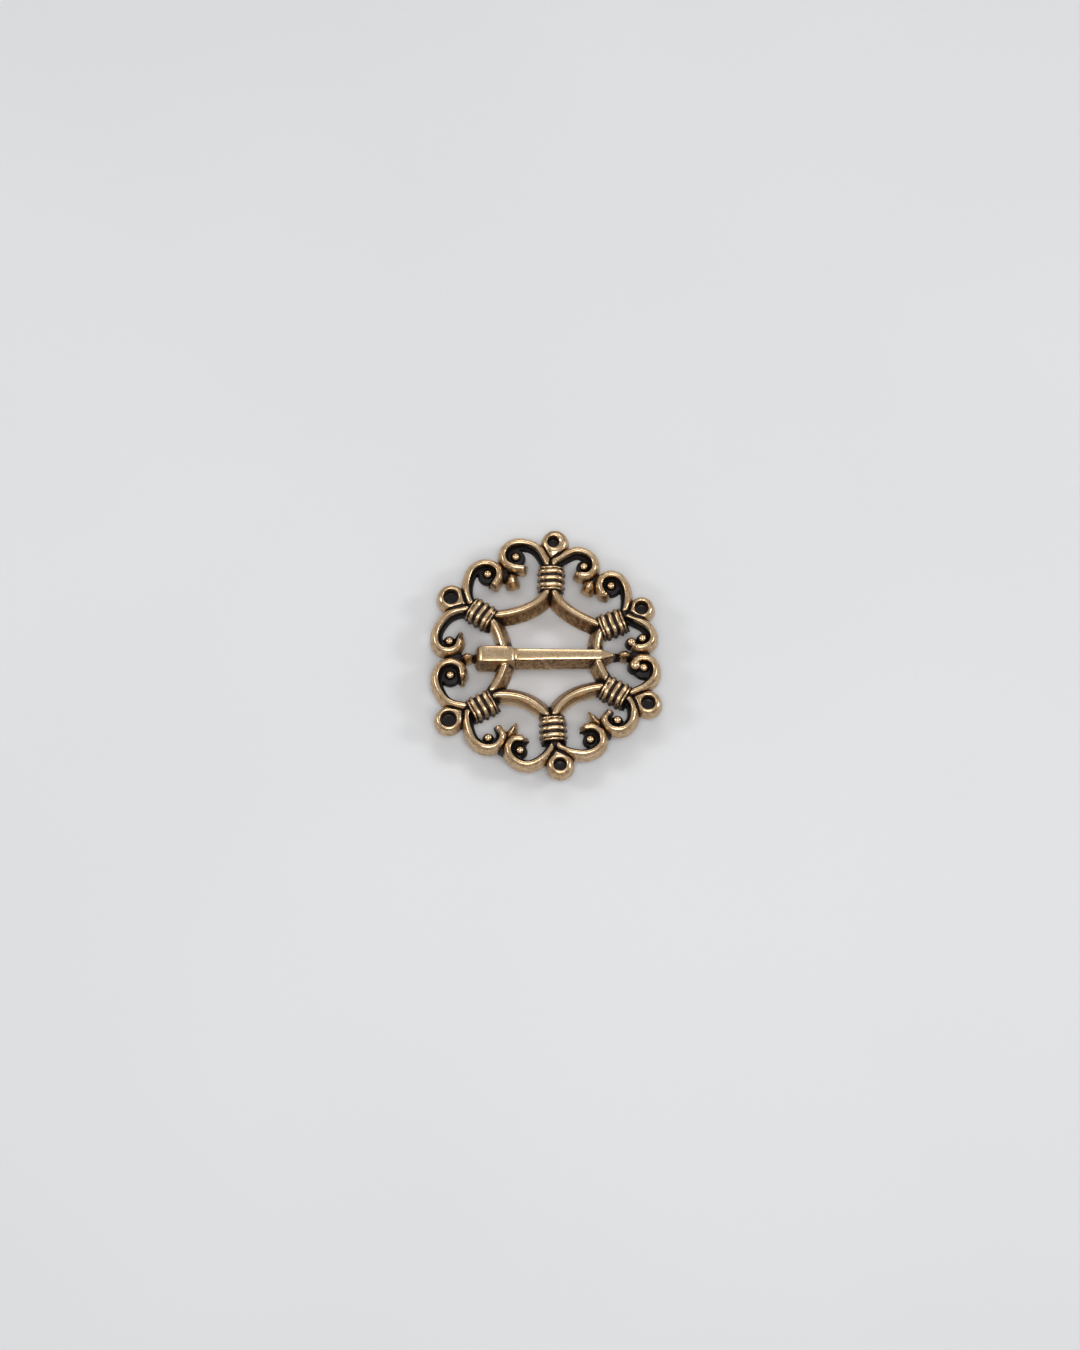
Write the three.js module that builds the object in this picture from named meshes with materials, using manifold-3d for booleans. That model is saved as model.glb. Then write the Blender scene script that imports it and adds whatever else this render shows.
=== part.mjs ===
// Cast bronze openwork brooch: six scrolled lobes with eyes and bound collars, a cast bar across the front,
// and a wire pin that swings on a riveted bracket behind the bar. Millimetres, +Z up, face up.
// X runs along the bar and Y towards the top eye. The tables of plan places are in plan units, from a point near
// the brooch's middle, and the finished group is moved so that its box stands centred on the origin.
import * as THREE from "three";
import { mergeVertices } from "three/addons/utils/BufferGeometryUtils.js";
import Module from "manifold-3d";

const wasm = await Module();
wasm.setup();

// The whole brooch from eye to eye, and one plan unit as a share of it
const broochHeight = 46.6;
const unitShare = 0.02146;
const planUnit = broochHeight * unitShare;

// Casting: the height of its flat back over the ground, and heights over that back
const backHeight = 3.0;
const rimEdge = 0.35;
const floorRise = 1.2;

// Scrolls: a crest with a steep bank outside and a sunk floor inside, measured from the crest's line
const scrollRise = 2.7;
const scrollShoulderRise = 2.5;
const scrollOuterCrest = 0.55;
const scrollInnerCrest = 0.25;
const scrollBank = 0.65;
const scrollInnerBatter = 0.25;
const scrollReach = 1.15;
const scrollTipLength = 0.5;
const scrollTipShare = 0.55;
const tailShare = 0.7;
const pelletGap = 0.3;
const floorLedge = 0.05;
const rootShare = 0.8;
const radiusStep = 45;
const pelletRadius = 0.82;
const pelletSink = 0.15;
const pelletRoot = 0.2;
const knobRise = 1.55;

// Collars: three ribs between two plain edges, bound over the stems
const collarWidth = 5.1;
const collarLength = 4.4;
const collarRise = 3.1;
const collarRibs = 3;
const collarRibPitch = 1.12;
const collarRibWidth = 0.8;
const collarRibTop = 0.32;
const collarGroove = 0.42;
const collarLipGap = 0.04;
const collarLipDrop = 0.2;
const collarEndDrop = 0.5;
const collarSideFullness = 0.7;
const collarTopFullness = 0.6;

// Eyes: a raised ring with a blind hole, drawn out to a point towards its collar
const eyeRise = 2.35;
const eyeHoleFloor = 0.8;
const eyePoint = 0.34;
const eyePointSharpness = 6;
const eyeProfile = [[1, 0], [1, 0.45], [0.86, 0.78], [0.5, 1], [0.22, 0.95]];

// Inner arcs: a crest with a wide slope towards the middle and a steeper one towards the lobe
const arcRise = 2.95;
const arcCrest = 0.7;
const arcInnerSlope = 1.3;
const arcLobeSlope = 0.95;

// Front bar: a square head, a notch and a blade that ends in a point
const barLine = -1.55;
const barSlope = 0.9;
const headStart = -12.7;
const headEnd = -6.0;
const headTop = 2.85;
const headRise = 3.75;
const headChamfer = 0.55;
const notchWidth = 0.45;
const notchDepth = 0.5;
const bladeTop = 1.95;
const bladeRise = 3.25;
const bladeTaperStart = 9.6;
const bladeEnd = 12.2;
const bladeTipTop = 0.3;
const bladeTipSlope = 0.35;
const bladeTipLength = 0.4;
const bladeTipDrop = 0.35;
const bladeEndRise = 2.05;
const headEndRise = 2.45;
const barTopPlay = 0.1;

// Pin and its fitting, behind the bar
const fittingWidth = 2.9;
const pinHingeX = -9.8;
const pinHingeHeight = 1.35;
const pinDiameter = 1.0;
const pinTipDiameter = 0.24;
const pinTaperStart = 4.5;
const pinEnd = 11.3;
const pinEyeDiameter = 2.0;
const shankRoot = 0.35;
const rivetDiameter = 0.8;
const rivetHeadDiameter = 1.5;
const rivetHeadHeight = 0.3;
const rivetCrownShare = 0.64;
const rivetRimShare = 0.4;
const earThickness = 0.75;
const earFoot = 2.0;
const bracketLength = 3.8;
const bracketPlate = 0.55;
const catchStart = 8.3;
const catchLength = 2.2;
const catchShoulder = 0.5;
const boreClearance = 0.05;
const sideClearance = 0.1;
const catchClearance = 0.08;

// Each collar by its place and the bearing of its outer end, in degrees anticlockwise from +X
const collars = {
  top: { at: [0.65, 13.15], bearing: 88 },
  upperLeft: { at: [-11.9, 6.6], bearing: 148 },
  upperRight: { at: [11.55, 4.75], bearing: 21 },
  lowerLeft: { at: [-11.8, -10.7], bearing: 207 },
  lowerRight: { at: [12.2, -8.1], bearing: -29 },
  bottom: { at: [1.0, -15.15], bearing: -87 },
};

// Each eye by its ring, the width of the ring's band and its hole, which the caster set a little off centre
const eyes = [
  { at: [1.35, 20.1], band: 1.45, hole: [1.05, 20.2], holeRadius: 1.0, collar: collars.top },
  { at: [-17.4, 9.55], band: 1.28, hole: [-17.45, 9.65], holeRadius: 1.28, collar: collars.upperLeft },
  { at: [17.0, 7.5], band: 1.12, hole: [16.95, 7.55], holeRadius: 1.16, collar: collars.upperRight },
  { at: [-17.75, -13.35], band: 1.1, hole: [-17.7, -13.35], holeRadius: 1.38, collar: collars.lowerLeft },
  { at: [18.05, -10.3], band: 1.2, hole: [18.0, -10.25], holeRadius: 1.2, collar: collars.lowerRight },
  { at: [2.25, -21.65], band: 1.3, hole: [2.2, -21.7], holeRadius: 1.1, collar: collars.bottom },
];

// Each scroll leaves its collar at the root and winds about its pellet. The first radius stands at the bearing
// named from, and each next one a step further round in the sense of turn. Tip is where the crest ends, ending
// the share of its section that is left there, web the floor's reach round the pellet, and knob the size of the
// ball that two of the scrolls end in.
const scrolls = [
  { collar: collars.top, root: [-0.2, 16.0], pellet: [-5.75, 17.4], from: 25, turn: 1,
    radii: [3.95, 2.7, 2.35, 2.2, 2.05, 1.9], tip: [-4.3, 15.3], ending: 0.95, web: 1.7, knob: 0 },
  { collar: collars.top, root: [1.25, 16.0], pellet: [6.6, 15.6], from: 160, turn: -1,
    radii: [4.3, 3.0, 2.2, 1.85, 1.75, 1.75, 1.7], tip: [5.35, 14.25], ending: 0.85, web: 1.35, knob: 0 },
  { collar: collars.upperLeft, root: [-14.1, 9.2], pellet: [-10.85, 14.15], from: 210, turn: -1,
    radii: [4.15, 2.75, 2.0, 1.75, 1.85, 1.9], tip: [-9.85, 12.1], ending: 0.95, web: 1.75, knob: 0 },
  { collar: collars.upperRight, root: [13.8, 7.0], pellet: [11.5, 11.9], from: -45, turn: 1,
    radii: [3.85, 2.35, 1.95, 1.85, 1.85, 1.85, 1.95], tip: [10.7, 10.15], ending: 0.85, web: 1.8, knob: 0 },
  { collar: collars.upperLeft, root: [-14.7, 7.2], pellet: [-17.7, 1.4], from: 90, turn: 1,
    radii: [4.85, 2.9, 2.25, 2.0, 1.75, 1.7, 1.7], tip: [-15.75, 3.1], ending: 0.5, web: 1.15, knob: 0 },
  { collar: collars.lowerLeft, root: [-14.9, -10.7], pellet: [-17.5, -5.0], from: 265, turn: -1,
    radii: [4.8, 2.9, 2.3, 2.2, 2.2, 2.2, 2.05], tip: [-15.4, -6.5], ending: 0.5, web: 1.8, knob: 0 },
  { collar: collars.upperRight, root: [13.8, 6.0], pellet: [17.1, 1.9], from: 110, turn: -1,
    radii: [3.6, 2.2, 1.75, 1.6, 1.55, 1.8], tip: [15.1, 1.2], ending: 0.6, web: 1.1, knob: 0.85 },
  { collar: collars.lowerRight, root: [14.3, -8.3], pellet: [17.3, -3.6], from: -95, turn: 1,
    radii: [3.7, 2.5, 1.9, 1.65, 1.5, 1.65], tip: [15.75, -3.2], ending: 0.6, web: 1.9, knob: 0.95 },
  { collar: collars.lowerLeft, root: [-14.1, -12.0], pellet: [-10.6, -16.7], from: 140, turn: 1,
    radii: [4.75, 2.65, 1.9, 1.75, 1.95, 2.4], tip: [-9.0, -14.8], ending: 0.8, web: 0.9, knob: 0 },
  { collar: collars.bottom, root: [0.85, -17.9], pellet: [-4.9, -19.0], from: -15, turn: -1,
    radii: [4.4, 2.95, 2.1, 1.88, 1.95, 2.05, 1.9], tip: [-3.65, -17.0], ending: 0.5, web: 1.25, knob: 0 },
  { collar: collars.lowerRight, root: [14.1, -9.4], pellet: [12.5, -13.4], from: 45, turn: -1,
    radii: [3.7, 2.5, 1.95, 1.75, 1.85, 2.05], tip: [11.2, -11.9], ending: 0.8, web: 0.9, knob: 0 },
  { collar: collars.bottom, root: [1.7, -17.8], pellet: [7.6, -17.0], from: 205, turn: 1,
    radii: [4.7, 2.7, 2.1, 2.05, 2.05, 2.1, 2.15], tip: [6.1, -15.1], ending: 0.65, web: 1.3, knob: 0 },
];

// Each inner arc by its two ends and the point that its middle passes through
const arcs = [
  { from: [0.2, 10.9], through: [-3.6, 7.5], to: [-10.4, 6.0] },
  { from: [1.0, 10.9], through: [3.9, 7.1], to: [10.4, 3.9] },
  { from: [10.2, 4.2], through: [9.0, 1.7], to: [8.8, -1.6] },
  { from: [8.8, -1.4], through: [9.5, -3.9], to: [11.2, -6.8] },
  { from: [-10.6, 5.9], through: [-8.8, 3.0], to: [-7.6, -1.3] },
  { from: [-7.4, -1.8], through: [-8.4, -5.4], to: [-10.6, -9.0] },
  { from: [-10.6, -9.1], through: [-4.2, -9.5], to: [0.5, -13.4] },
  { from: [0.8, -13.4], through: [4.2, -9.0], to: [10.8, -7.3] },
];

// Each bud by its stalk, which runs in from the valley between two scrolls, and its waist and tip. The stalks of
// the two side buds run on to the ends of the bar. The shape lists half widths and heights from waist to tip.
const budShapes = {
  flare: { across: [0.85, 1.2, 1.25, 1.0], rise: [1.9, 2.4, 2.2, 1.2] },
  leaf: { across: [0.5, 0.95, 0.8, 0.2], rise: [1.6, 2.4, 2.3, 1.4] },
  knob: { across: [0.6, 1.05, 1.0, 0.5], rise: [1.7, 2.5, 2.4, 1.5] },
};
const buds = [
  { valley: [-9.0, 16.3], stalkEnd: [-7.0, 13.0], waist: [-6.6, 14.0], tip: [-6.2, 11.6], shape: budShapes.flare },
  { valley: [9.4, 14.2], stalkEnd: [7.8, 12.2], waist: [8.1, 12.8], tip: [6.9, 10.7], shape: budShapes.flare },
  { valley: [-17.6, -1.5], stalkEnd: [-12.4, -1.6], waist: [-15.2, -1.6], tip: [-13.5, -1.6], shape: budShapes.knob },
  { valley: [18.3, -0.9], stalkEnd: [11.4, -1.4], waist: [14.9, -1.2], tip: [12.6, -1.2], shape: budShapes.knob },
  { valley: [-8.2, -19.6], stalkEnd: [-6.8, -16.2], waist: [-7.1, -16.8], tip: [-5.5, -13.9], shape: budShapes.leaf },
  { valley: [10.8, -16.7], stalkEnd: [9.1, -14.3], waist: [9.6, -15.0], tip: [7.3, -11.8], shape: budShapes.leaf },
];
const stalkWidth = 1.5;
const stalkTop = 1.05;
const stalkRise = 1.15;
const budTopShare = 0.45;

// Fineness of the faceted forms
const scrollStations = 14;
const arcStations = 5;
const budStations = 4;
const eyeSides = 12;
const roundSides = 10;
const pelletSides = 7;
const pelletRows = 3;
const collarSides = 5;

const up = new THREE.Vector3(0, 0, 1);
const radians = THREE.MathUtils.degToRad;

// A plan place, in plan units, as a point on the casting's back.
function plan([x, y]) {
  return new THREE.Vector3(x * planUnit, y * planUnit, backHeight);
}

function direction(bearing) {
  const angle = radians(bearing);
  return new THREE.Vector3(Math.cos(angle), Math.sin(angle), 0);
}

// A manifold solid of a closed triangle mesh, turned to face outwards.
function toSolid(geometry) {
  const bare = geometry.index ? geometry.toNonIndexed() : geometry.clone();
  bare.deleteAttribute("normal");
  bare.deleteAttribute("uv");
  const merged = mergeVertices(bare, 1e-4);
  const mesh = {
    numProp: 3,
    vertProperties: new Float32Array(merged.attributes.position.array),
    triVerts: new Uint32Array(merged.index.array),
  };
  const solid = new wasm.Manifold(new wasm.Mesh(mesh));
  if (solid.volume() > 0) return solid;
  mesh.triVerts.reverse();
  return new wasm.Manifold(new wasm.Mesh(mesh));
}

function toGeometry(solid) {
  const mesh = solid.getMesh();
  const geometry = new THREE.BufferGeometry();
  geometry.setAttribute("position", new THREE.BufferAttribute(mesh.vertProperties, 3));
  geometry.setIndex(new THREE.BufferAttribute(mesh.triVerts, 1));
  geometry.computeVertexNormals();
  return geometry;
}

function joined(solids) {
  return solids.reduce((whole, next) => whole.add(next));
}

// A closed flat section laid out in its own plane, as triangulateShape takes it.
function flatOutline(section) {
  const origin = section[0];
  const away = section.map((p) => p.clone().sub(origin));
  const along = away.reduce((best, p) => (p.length() > best.length() ? p : best)).clone().normalize();
  const normal = new THREE.Vector3();
  for (let j = 1; j + 1 < away.length; j++) {
    normal.add(new THREE.Vector3().crossVectors(away[j], away[j + 1]));
  }
  const over = new THREE.Vector3().crossVectors(normal.normalize(), along);
  return away.map((p) => new THREE.Vector2(p.dot(along), p.dot(over)));
}

// A solid skinned over a row of closed sections, each the same number of points, with its ends filled.
function loft(sections) {
  const sides = sections[0].length;
  const points = sections.flat();
  const faces = [];
  for (let i = 0; i + 1 < sections.length; i++) {
    for (let j = 0; j < sides; j++) {
      const a = i * sides + j;
      const b = i * sides + ((j + 1) % sides);
      faces.push(a, b, b + sides, a, b + sides, a + sides);
    }
  }
  const last = (sections.length - 1) * sides;
  for (const [a, b, c] of THREE.ShapeUtils.triangulateShape(flatOutline(sections[0]), [])) {
    faces.push(c, b, a);
  }
  for (const [a, b, c] of THREE.ShapeUtils.triangulateShape(flatOutline(sections.at(-1)), [])) {
    faces.push(last + a, last + b, last + c);
  }
  const geometry = new THREE.BufferGeometry().setFromPoints(points);
  geometry.setIndex(faces);
  return toSolid(geometry);
}

// Sets a section of [offset, height] points across a path, positive offsets to the left of travel.
function across(point, tangent, section) {
  const side = new THREE.Vector3().crossVectors(up, tangent).normalize();
  return section.map(([offset, height]) =>
    point.clone().addScaledVector(side, offset).setZ(backHeight + height));
}

// One scroll: its sunk floor and its crest, run along a spline from the collar round the pellet
function scrollSolid(scroll) {
  const centre = plan(scroll.pellet);
  const turns = scroll.radii.map((radius, i) => centre.clone().addScaledVector(
    direction(scroll.from + scroll.turn * radiusStep * i), radius * planUnit));
  const root = plan(scroll.root);
  const inside = root.clone().lerp(plan(scroll.collar.at), rootShare);
  const curve = new THREE.CatmullRomCurve3([inside, root, ...turns, plan(scroll.tip)], false, "centripetal");
  const wallFoot = scrollInnerCrest + scrollInnerBatter;
  const section = (point, tangent, reach, share) => across(point, tangent, [
    [-scrollOuterCrest - scrollBank, 0],
    [-scrollOuterCrest - scrollBank, rimEdge],
    [-scrollOuterCrest, scrollShoulderRise],
    [scrollInnerCrest, scrollRise],
    [wallFoot, floorRise],
    [reach, floorRise],
    [reach, 0],
  ].map(([offset, height]) => [offset * scroll.turn * share, height * share]));
  const sections = [];
  for (let i = 0; i <= scrollStations; i++) {
    const t = i / scrollStations;
    const point = curve.getPoint(t);
    const tail = THREE.MathUtils.smoothstep(t, tailShare, 1);
    const room = Math.min(scrollReach, point.distanceTo(centre) - pelletGap);
    const reach = THREE.MathUtils.lerp(Math.max(wallFoot, room), wallFoot, tail) + floorLedge;
    const share = THREE.MathUtils.lerp(1, scroll.ending, tail);
    sections.push(section(point, curve.getTangent(t), reach, share));
  }
  const heading = curve.getTangent(1);
  const end = curve.getPoint(1).addScaledVector(heading, scrollTipLength * scroll.ending);
  sections.push(section(end, heading, wallFoot + floorLedge, scroll.ending * scrollTipShare));
  const solids = [
    loft(sections),
    disc(centre, scroll.web * planUnit, 0, floorRise),
    ball(centre, pelletRadius, floorRise - pelletRoot, floorRise + pelletSink),
  ];
  if (scroll.knob > 0) solids.push(ball(curve.getPoint(1), scroll.knob * planUnit, 0, knobRise));
  return joined(solids);
}

// A round plate over the casting's back, between two heights.
function disc(centre, radius, low, high) {
  const geometry = new THREE.CylinderGeometry(radius, radius, high - low, roundSides);
  geometry.rotateX(Math.PI / 2);
  geometry.translate(centre.x, centre.y, backHeight + (low + high) / 2);
  return toSolid(geometry);
}

// A round knob that stands up from the height given, with the middle of its dome higher up.
function ball(centre, radius, low, middle) {
  const profile = [new THREE.Vector2(0, low), new THREE.Vector2(radius, low)];
  for (let i = 0; i < pelletRows; i++) {
    const angle = (i / pelletRows) * (Math.PI / 2);
    profile.push(new THREE.Vector2(radius * Math.cos(angle), middle + radius * Math.sin(angle)));
  }
  profile.push(new THREE.Vector2(0, middle + radius));
  const geometry = new THREE.LatheGeometry(profile, pelletSides);
  geometry.rotateX(Math.PI / 2);
  geometry.translate(centre.x, centre.y, backHeight);
  return toSolid(geometry);
}

// One eye: a ring of rounded section whose outer side runs out to a point towards its collar
function eyeSolid(eye) {
  const centre = plan(eye.at);
  const toCollar = plan(eye.collar.at).sub(centre);
  const inward = Math.atan2(toCollar.y, toCollar.x);
  const bore = eye.holeRadius * planUnit;
  const rings = eyeProfile.map(([share, height]) => {
    const ring = [];
    for (let i = 0; i < eyeSides; i++) {
      const angle = (i / eyeSides) * 2 * Math.PI;
      const point = 1 + eyePoint * Math.max(0, Math.cos(angle - inward)) ** eyePointSharpness;
      const edge = (eye.band + eye.holeRadius) * planUnit * point;
      const radius = THREE.MathUtils.lerp(bore, edge, share);
      ring.push(new THREE.Vector3(
        centre.x + radius * Math.cos(angle),
        centre.y + radius * Math.sin(angle),
        backHeight + height * eyeRise,
      ));
    }
    return ring;
  });
  return loft(rings).subtract(disc(plan(eye.hole), bore, eyeHoleFloor, eyeRise * 2));
}

// One collar: ribs and grooves bound over the stems, arched across
function collarSolid(collar) {
  const along = direction(collar.bearing);
  const edge = (collarRibs * collarRibPitch) / 2 + collarLipGap;
  const rings = [[-collarLength / 2, collarEndDrop], [-edge, collarLipDrop]];
  for (let i = 0; i < collarRibs; i++) {
    const rib = (i - (collarRibs - 1) / 2) * collarRibPitch;
    rings.push([rib - collarRibWidth / 2, collarGroove], [rib - collarRibTop / 2, 0]);
    rings.push([rib + collarRibTop / 2, 0], [rib + collarRibWidth / 2, collarGroove]);
  }
  rings.push([edge, collarLipDrop], [collarLength / 2, collarEndDrop]);
  const arch = (inset) => {
    const section = [];
    for (let i = 0; i <= collarSides; i++) {
      const angle = (i / collarSides) * Math.PI;
      const offset = Math.cos(angle);
      const height = i % collarSides === 0 ? 0 : Math.sin(angle);
      section.push([
        Math.sign(offset) * Math.abs(offset) ** collarSideFullness * (collarWidth / 2 - inset),
        height ** collarTopFullness * (collarRise - inset),
      ]);
    }
    return section;
  };
  return loft(rings.map(([s, inset]) =>
    across(plan(collar.at).addScaledVector(along, s), along, arch(inset))));
}

// One inner arc, with its wide slope towards the middle of the brooch
function arcSolid(arc) {
  const [start, middle, end] = [arc.from, arc.through, arc.to].map(plan);
  const control = middle.clone().multiplyScalar(2).sub(start.clone().add(end).multiplyScalar(0.5));
  const curve = new THREE.QuadraticBezierCurve3(start, control, end);
  const travel = end.clone().sub(start);
  const inward = onBar(0).sub(middle);
  const side = Math.sign(travel.x * inward.y - travel.y * inward.x);
  const half = arcCrest / 2;
  const section = [
    [half + arcInnerSlope, 0],
    [half + arcInnerSlope, rimEdge],
    [half, arcRise],
    [-half, arcRise],
    [-half - arcLobeSlope, rimEdge],
    [-half - arcLobeSlope, 0],
  ].map(([offset, height]) => [offset * side, height]);
  const sections = [];
  for (let i = 0; i <= arcStations; i++) {
    const t = i / arcStations;
    sections.push(across(curve.getPointAt(t), curve.getTangentAt(t), section));
  }
  return loft(sections);
}

// One bud: a low stalk out of the valley between two scrolls, and the bud that it carries
function budSolid(bud) {
  const waist = plan(bud.waist);
  const tip = plan(bud.tip);
  const valley = plan(bud.valley);
  const stalkEnd = plan(bud.stalkEnd);
  const post = (halfTop, halfFoot, rise) => [
    [-halfFoot, 0],
    [-halfFoot, rimEdge],
    [-halfTop, rise],
    [halfTop, rise],
    [halfFoot, rimEdge],
    [halfFoot, 0],
  ];
  const stalkWay = stalkEnd.clone().sub(valley).normalize();
  const stalk = loft([valley, stalkEnd].map((point) =>
    across(point, stalkWay, post(stalkTop / 2, stalkWidth / 2, stalkRise))));
  const way = tip.clone().sub(waist).normalize();
  const head = loft(bud.shape.across.map((half, i) => {
    const t = i / (budStations - 1);
    const point = waist.clone().lerp(tip, t);
    return across(point, way, post(half * budTopShare, half, bud.shape.rise[i]));
  }));
  return stalk.add(head);
}

// A point on the casting's back on the bar's line.
function onBar(x) {
  return new THREE.Vector3(x, barLine, backHeight);
}

// The front bar: chamfered head, notch and tapering blade, one section of flat top and sloped sides
function barSolid() {
  const stations = [
    [headStart, headTop / 2 - barTopPlay, headEndRise],
    [headStart + headChamfer, headTop / 2, headRise],
    [headEnd - headChamfer, headTop / 2, headRise],
    [headEnd, bladeTop / 2 + barTopPlay, bladeRise],
    [headEnd + notchWidth / 2, bladeTop / 2, bladeRise - notchDepth],
    [headEnd + notchWidth, bladeTop / 2 + barTopPlay, bladeRise],
    [bladeTaperStart, bladeTop / 2 - barTopPlay, bladeRise],
    [bladeEnd - bladeTipLength, bladeTipTop, bladeRise - bladeTipDrop, bladeTipSlope],
    [bladeEnd, bladeTipTop / 2, bladeEndRise, bladeTipSlope],
  ];
  return loft(stations.map(([x, halfTop, rise, slope = barSlope]) => {
    const halfFoot = halfTop + slope;
    const section = [
      [-halfFoot, 0],
      [-halfFoot, rimEdge],
      [-halfTop, rise],
      [halfTop, rise],
      [halfFoot, rimEdge],
      [halfFoot, 0],
    ];
    return across(onBar(x), new THREE.Vector3(1, 0, 0), section);
  }));
}

function castFrame() {
  return joined([
    ...Object.values(collars).map(collarSolid),
    ...scrolls.map(scrollSolid),
    ...eyes.map(eyeSolid),
    ...arcs.map(arcSolid),
    ...buds.map(budSolid),
    barSolid(),
  ]);
}

// A plate cut in the XZ plane and set across Y, its middle at the offset given from the pin's line.
function sidePlate(shape, thickness, offset) {
  const geometry = new THREE.ExtrudeGeometry(shape, {
    depth: thickness,
    bevelEnabled: false,
    curveSegments: roundSides,
  });
  geometry.rotateX(Math.PI / 2);
  geometry.translate(0, barLine + offset + thickness / 2, 0);
  return toSolid(geometry);
}

function roundHole(x, z, radius) {
  return new THREE.Path().absarc(x, z, radius, 0, 2 * Math.PI, true);
}

// The bracket: a plate soldered to the casting's back, with two ears that stand on the ground
function hingeBracket() {
  const top = backHeight - bracketPlate;
  const ear = new THREE.Shape();
  ear.moveTo(pinHingeX - earFoot / 2, 0);
  ear.lineTo(pinHingeX + earFoot / 2, 0);
  ear.lineTo(pinHingeX + bracketLength / 2, top);
  ear.lineTo(pinHingeX + bracketLength / 2, backHeight);
  ear.lineTo(pinHingeX - bracketLength / 2, backHeight);
  ear.lineTo(pinHingeX - bracketLength / 2, top);
  ear.closePath();
  ear.holes.push(roundHole(pinHingeX, pinHingeHeight, rivetDiameter / 2 + boreClearance));
  const offset = (fittingWidth - earThickness) / 2;
  const plate = new THREE.BoxGeometry(bracketLength, fittingWidth - earThickness, bracketPlate);
  plate.translate(pinHingeX, barLine, backHeight - bracketPlate / 2);
  return joined([
    sidePlate(ear, earThickness, offset),
    sidePlate(ear, earThickness, -offset),
    toSolid(plate),
  ]);
}

function hingeRivet() {
  const half = fittingWidth / 2;
  const profile = [
    [0, -half - rivetHeadHeight],
    [(rivetHeadDiameter / 2) * rivetCrownShare, -half - rivetHeadHeight],
    [rivetHeadDiameter / 2, -half - rivetHeadHeight * rivetRimShare],
    [rivetHeadDiameter / 2, -half],
    [rivetDiameter / 2, -half],
    [rivetDiameter / 2, half],
    [rivetHeadDiameter / 2, half],
    [rivetHeadDiameter / 2, half + rivetHeadHeight * rivetRimShare],
    [(rivetHeadDiameter / 2) * rivetCrownShare, half + rivetHeadHeight],
    [0, half + rivetHeadHeight],
  ].map(([x, y]) => new THREE.Vector2(x, y));
  const geometry = new THREE.LatheGeometry(profile, roundSides);
  geometry.translate(pinHingeX, barLine, pinHingeHeight);
  return toSolid(geometry);
}

// The wire's radius at a place along X.
function pinRadiusAt(x) {
  const t = THREE.MathUtils.clamp((x - pinTaperStart) / (pinEnd - pinTaperStart), 0, 1);
  return THREE.MathUtils.lerp(pinDiameter, pinTipDiameter, t) / 2;
}

// The pin: a flattened eye on the rivet and a round wire that tapers to its point
function pinWire() {
  const eyeShape = new THREE.Shape().absarc(pinHingeX, pinHingeHeight, pinEyeDiameter / 2, 0, 2 * Math.PI);
  eyeShape.holes.push(roundHole(pinHingeX, pinHingeHeight, rivetDiameter / 2 + boreClearance));
  const eyeThickness = fittingWidth - 2 * earThickness - 2 * sideClearance;
  const shankStart = pinHingeX + pinEyeDiameter / 2 - shankRoot;
  const rings = [shankStart, pinTaperStart, (pinTaperStart + pinEnd) / 2, pinEnd].map((x) => {
    const ring = [];
    for (let i = 0; i < roundSides; i++) {
      const angle = (i / roundSides) * 2 * Math.PI;
      ring.push(new THREE.Vector3(
        x,
        barLine + pinRadiusAt(x) * Math.cos(angle),
        pinHingeHeight + pinRadiusAt(x) * Math.sin(angle),
      ));
    }
    return ring;
  });
  return sidePlate(eyeShape, eyeThickness, 0).add(loft(rings));
}

// The catch: a strip bent down on both sides of the wire, open below so that the pin swings straight out
function pinCatch() {
  const half = fittingWidth / 2;
  const slot = pinRadiusAt(catchStart) + catchClearance;
  const roof = pinHingeHeight + slot;
  const shape = new THREE.Shape();
  shape.moveTo(-half, 0);
  shape.lineTo(-slot, 0);
  shape.lineTo(-slot, roof - slot);
  shape.absarc(0, roof - slot, slot, Math.PI, 0, true);
  shape.lineTo(slot, 0);
  shape.lineTo(half, 0);
  shape.lineTo(half, backHeight - catchShoulder);
  shape.lineTo(half - catchShoulder, backHeight);
  shape.lineTo(catchShoulder - half, backHeight);
  shape.lineTo(-half, backHeight - catchShoulder);
  shape.closePath();
  const geometry = new THREE.ExtrudeGeometry(shape, {
    depth: catchLength,
    bevelEnabled: false,
    curveSegments: roundSides / 2,
  });
  geometry.rotateX(Math.PI / 2);
  geometry.rotateZ(Math.PI / 2);
  geometry.translate(catchStart, barLine, 0);
  return toSolid(geometry);
}

const bronze = { color: 0xb08a5a, roughness: 0.38, metalness: 1 };
const paleBronze = { color: 0xbb9866, roughness: 0.42, metalness: 1 };
const darkBronze = { color: 0x7c5f3f, roughness: 0.5, metalness: 1 };

function piece(name, solid, finish) {
  const mesh = new THREE.Mesh(toGeometry(solid), new THREE.MeshStandardMaterial(finish));
  mesh.name = name;
  return mesh;
}

const group = new THREE.Group();
group.name = "fibula_brooch";
group.add(
  piece("cast_frame", castFrame(), bronze),
  piece("hinge_bracket", hingeBracket(), darkBronze),
  piece("hinge_rivet", hingeRivet(), paleBronze),
  piece("pin", pinWire(), paleBronze),
  piece("pin_catch", pinCatch(), darkBronze),
);

const box = new THREE.Box3().setFromObject(group);
const middle = box.getCenter(new THREE.Vector3());
group.position.set(-middle.x, -middle.y, 0);

export default group;
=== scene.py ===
import math

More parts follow.
